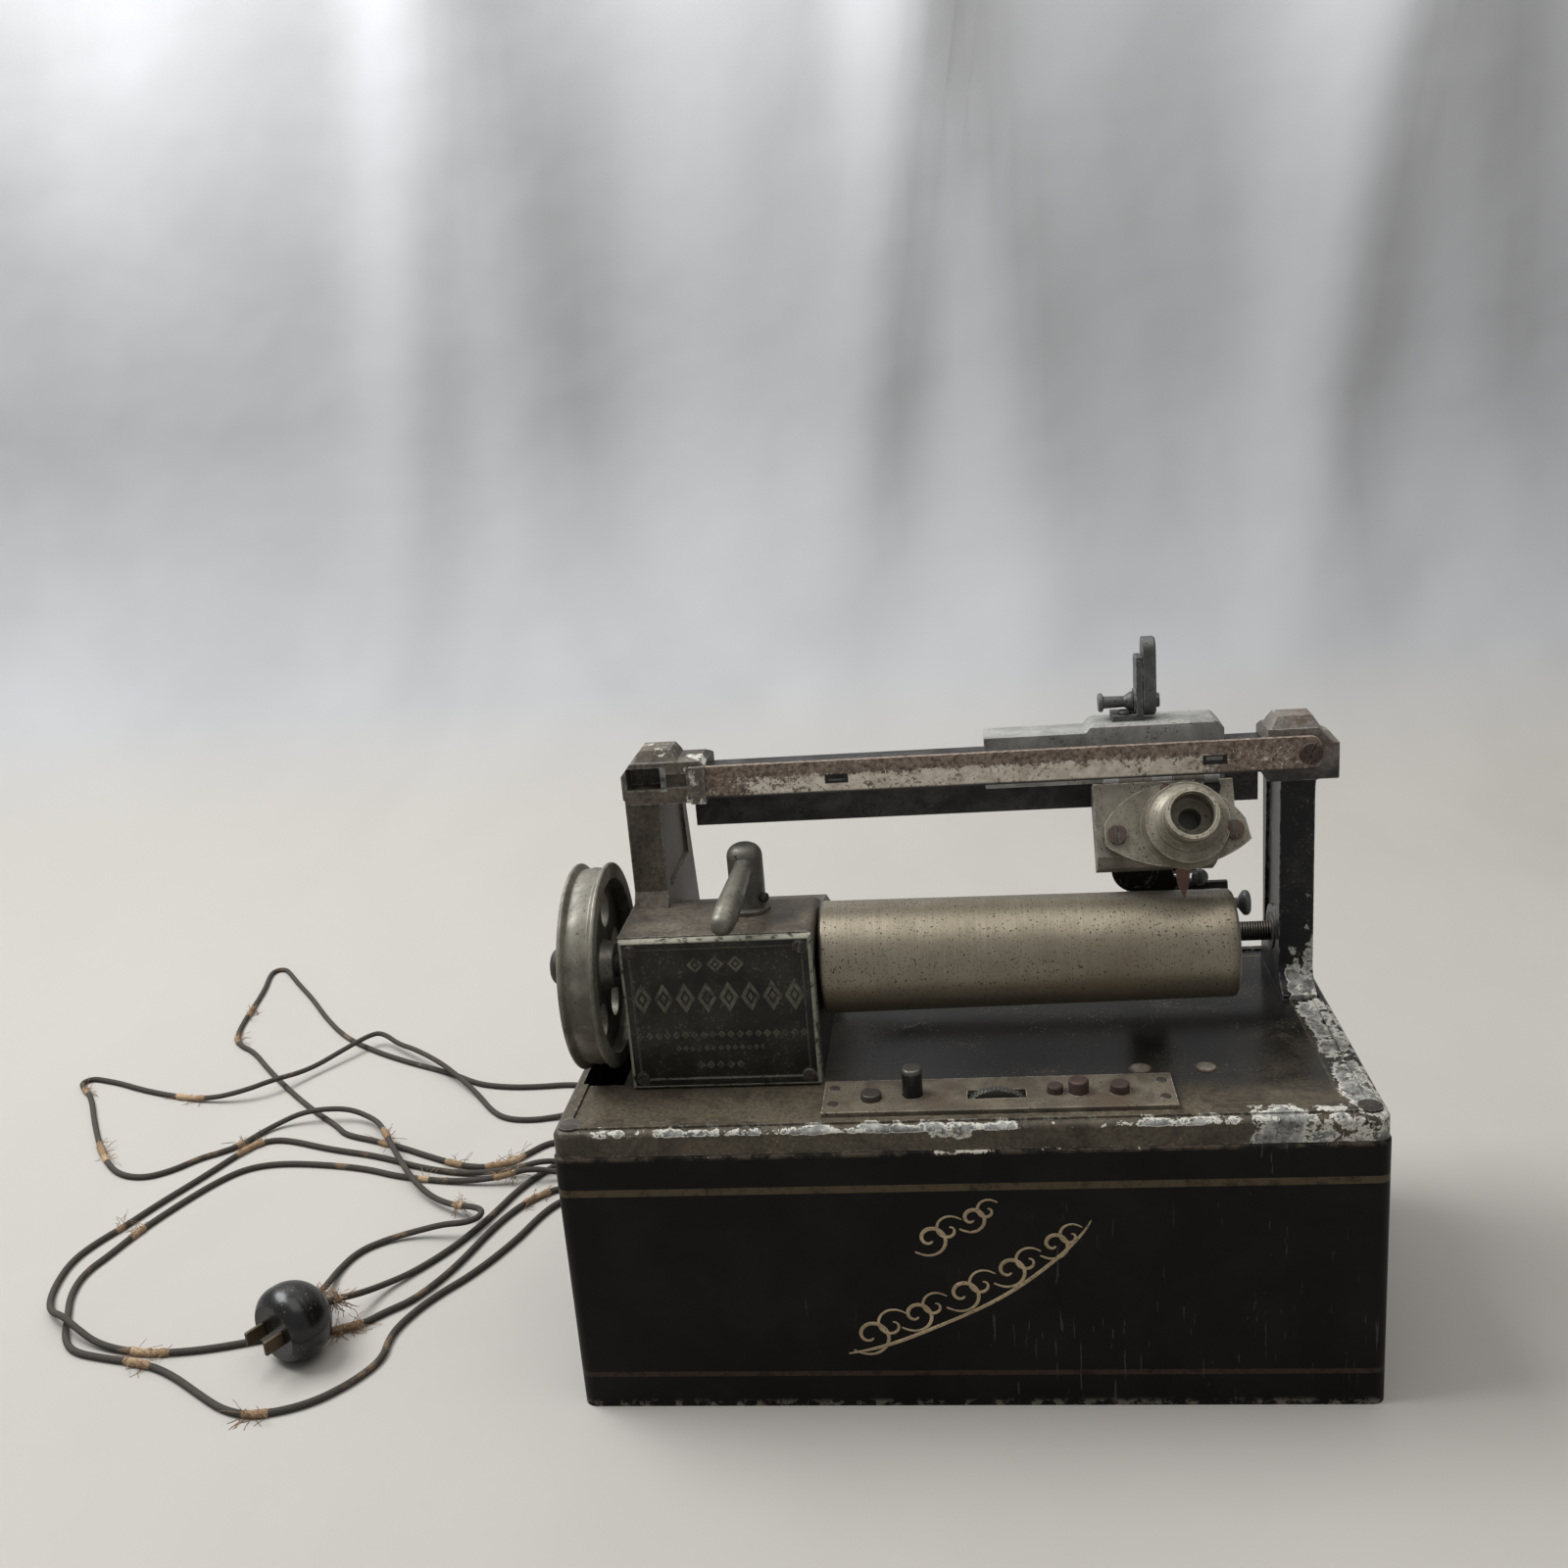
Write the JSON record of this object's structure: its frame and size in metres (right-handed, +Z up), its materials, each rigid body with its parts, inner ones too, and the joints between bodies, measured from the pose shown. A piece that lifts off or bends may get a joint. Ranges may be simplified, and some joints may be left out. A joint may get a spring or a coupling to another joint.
{
  "type": "wax cylinder dictating machine",
  "caption": "Desk dictating machine for wax cylinders: black case and bedplate, belt pulley and tapered mandrel, sliding recorder head on a guide rail, twin cloth-covered wires.",
  "frame": {"origin": "centre of the case's bottom face, on the table", "axes": "+X to the operator's right along the mandrel, +Y to the back, +Z up"},
  "size_m": [0.6903, 0.4746, 0.2825],
  "materials": {
    "case_lacquer": "satin black lacquer over wood",
    "bare_board": "bare deal",
    "bed_enamel": "glossy black enamel, chipped",
    "dark_screw": "darkened steel",
    "control_nickel": "tarnished nickel plate",
    "button_steel": "rusted steel",
    "button_black": "black composition",
    "wheel_steel": "milled steel",
    "housing_enamel": "dusty black enamel",
    "cover_enamel": "black-olive enamel",
    "bush_bronze": "bronze",
    "upright_enamel": "satin blue-black enamel",
    "rail_steel": "oiled steel",
    "strip_plating": "rust-specked plating",
    "mandrel_nickel": "dull worn nickel",
    "shaft_steel": "ground steel",
    "gear_brass": "cut brass",
    "pulley_nickel": "dull olive-grey metal",
    "nut_dark": "dark enamel",
    "carriage_nickel": "worn grey plating",
    "arm_black": "satin black",
    "head_nickel": "tarnished nickel",
    "rust_screw": "browned steel",
    "mica": "mica disc",
    "stylus_steel": "steel",
    "pointer_copper": "copper strip",
    "lever_enamel": "satin black enamel",
    "motor_iron": "cast iron",
    "rotor_steel": "laminated steel",
    "motor_pulley_steel": "turned steel",
    "brush_carbon": "carbon in a fibre holder",
    "gland_black": "black composition bush",
    "wire_cloth": "braided cloth over rubber",
    "plug_black": "black composition",
    "blade_brass": "brass"
  },
  "bodies": {
    "base": {"case_shell": "case_lacquer", "case_base_board": "bare_board", "bedplate": "bed_enamel", "bed_screws": "dark_screw", "bed_plugs": "dark_screw", "control_plate": "control_nickel", "control_plate_screws": "dark_screw", "wheel_bracket": "wheel_steel", "gear_housing": "housing_enamel", "housing_cover_plate": "cover_enamel", "cover_screws": "dark_screw", "shaft_bushes": "bush_bronze", "right_upright": "upright_enamel", "guide_rail": "rail_steel", "index_strip": "strip_plating", "strip_screw": "dark_screw", "idler_stud": "shaft_steel", "motor_field": "motor_iron", "motor_end_shields": "motor_iron", "motor_brushes": "brush_carbon", "wire_gland": "gland_black", "line_wire_a": "wire_cloth", "line_wire_b": "wire_cloth", "plug_body": "plug_black", "plug_blades": "blade_brass"},
    "spindle": {"spindle": "shaft_steel", "mandrel_shell": "mandrel_nickel", "mandrel_end_disc": "mandrel_nickel", "drive_pulley": "pulley_nickel", "pulley_nut": "nut_dark", "spindle_gear": "gear_brass"},
    "idler": {"idler_gear": "gear_brass"},
    "feed": {"feed_screw": "shaft_steel", "feed_gear": "gear_brass"},
    "carriage": {"carriage_sleeve": "carriage_nickel", "feed_arm": "arm_black", "half_nut": "bush_bronze", "lever_bracket": "carriage_nickel", "clamp_screw": "dark_screw"},
    "recorder_head": {"head_box": "head_nickel", "recorder_flange": "head_nickel", "mouth_tube": "head_nickel", "recorder_screws": "rust_screw", "diaphragm": "mica", "stylus_bar": "stylus_steel", "indicator_pointer": "pointer_copper"},
    "motor_rotor": {"motor_armature": "rotor_steel", "motor_pulley": "motor_pulley_steel"},
    "lift_lever": {"lift_lever": "carriage_nickel"},
    "thumb_knob": {"thumb_knob": "carriage_nickel"},
    "shaver_knob": {"shaver_knob": "carriage_nickel"},
    "ball_lever": {"ball_lever": "carriage_nickel"},
    "start_lever": {"start_lever": "lever_enamel"},
    "speed_wheel": {"speed_wheel": "wheel_steel"},
    "stop_button": {"stop_button": "button_steel"},
    "listen_button": {"listen_button": "button_black"},
    "index_button_a": {"index_button_a": "button_steel"},
    "index_button_b": {"index_button_b": "button_steel"},
    "index_button_c": {"index_button_c": "button_steel"}
  },
  "joints": [
    {"name": "spindle_spin", "type": "hinge", "parent": "base", "child": "spindle", "pos_m": [0, -0.02, 0.1646], "axis": [1, 0, 0], "continuous": true},
    {"name": "idler_spin", "type": "hinge", "parent": "base", "child": "idler", "pos_m": [0, 0.0103, 0.14708], "axis": [1, 0, 0], "continuous": true},
    {"name": "feed_screw_spin", "type": "hinge", "parent": "base", "child": "feed", "pos_m": [0, 0.045, 0.1425], "axis": [1, 0, 0], "continuous": true},
    {"name": "carriage_slide", "type": "slide", "parent": "base", "child": "carriage", "axis": [1, 0, 0], "range_m": [-0.1092, 0.008]},
    {"name": "head_lift", "type": "hinge", "parent": "carriage", "child": "recorder_head", "pos_m": [0, -0.00592, 0.2278], "axis": [-1, 0, 0], "range_deg": [0, 10]},
    {"name": "lift_lever_swing", "type": "hinge", "parent": "carriage", "child": "lift_lever", "pos_m": [0.081, 0.005, 0.257], "axis": [1, 0, 0], "range_deg": [-35, 35]},
    {"name": "thumb_knob_turn", "type": "hinge", "parent": "carriage", "child": "thumb_knob", "pos_m": [0.068, 0.005, 0.257], "axis": [1, 0, 0], "continuous": true},
    {"name": "shaver_knob_turn", "type": "hinge", "parent": "carriage", "child": "shaver_knob", "pos_m": [0.117, 0.0144, 0.1675], "axis": [1, 0, 0], "continuous": true},
    {"name": "ball_lever_swing", "type": "hinge", "parent": "carriage", "child": "ball_lever", "pos_m": [0.0935, 0.0119, 0.1745], "axis": [0, 1, 0], "range_deg": [-25, 15]},
    {"name": "start_lever_swing", "type": "hinge", "parent": "base", "child": "start_lever", "pos_m": [-0.08, -0.017, 0.2], "axis": [0, 0, 1], "range_deg": [-25, 45]},
    {"name": "speed_wheel_turn", "type": "hinge", "parent": "base", "child": "speed_wheel", "pos_m": [0.0146, -0.0595, 0.1102], "axis": [0, 1, 0], "range_deg": [-70, 70]},
    {"name": "motor_spin", "type": "hinge", "parent": "base", "child": "motor_rotor", "pos_m": [0, 0.01, 0.05], "axis": [1, 0, 0], "continuous": true},
    {"name": "stop_button_press", "type": "slide", "parent": "base", "child": "stop_button", "axis": [0, 0, -1], "range_m": [0, 0.002], "stiffness_N_per_m": 200, "springref_m": -0.002},
    {"name": "listen_button_press", "type": "slide", "parent": "base", "child": "listen_button", "axis": [0, 0, -1], "range_m": [0, 0.002], "stiffness_N_per_m": 200, "springref_m": -0.002},
    {"name": "index_button_a_press", "type": "slide", "parent": "base", "child": "index_button_a", "axis": [0, 0, -1], "range_m": [0, 0.002], "stiffness_N_per_m": 200, "springref_m": -0.002},
    {"name": "index_button_b_press", "type": "slide", "parent": "base", "child": "index_button_b", "axis": [0, 0, -1], "range_m": [0, 0.002], "stiffness_N_per_m": 200, "springref_m": -0.002},
    {"name": "index_button_c_press", "type": "slide", "parent": "base", "child": "index_button_c", "axis": [0, 0, -1], "range_m": [0, 0.002], "stiffness_N_per_m": 200, "springref_m": -0.002}
  ],
  "couplings": [
    {"joint": "idler_spin", "follows": "spindle_spin", "ratio": -0.47368},
    {"joint": "feed_screw_spin", "follows": "spindle_spin", "ratio": 1}
  ]
}
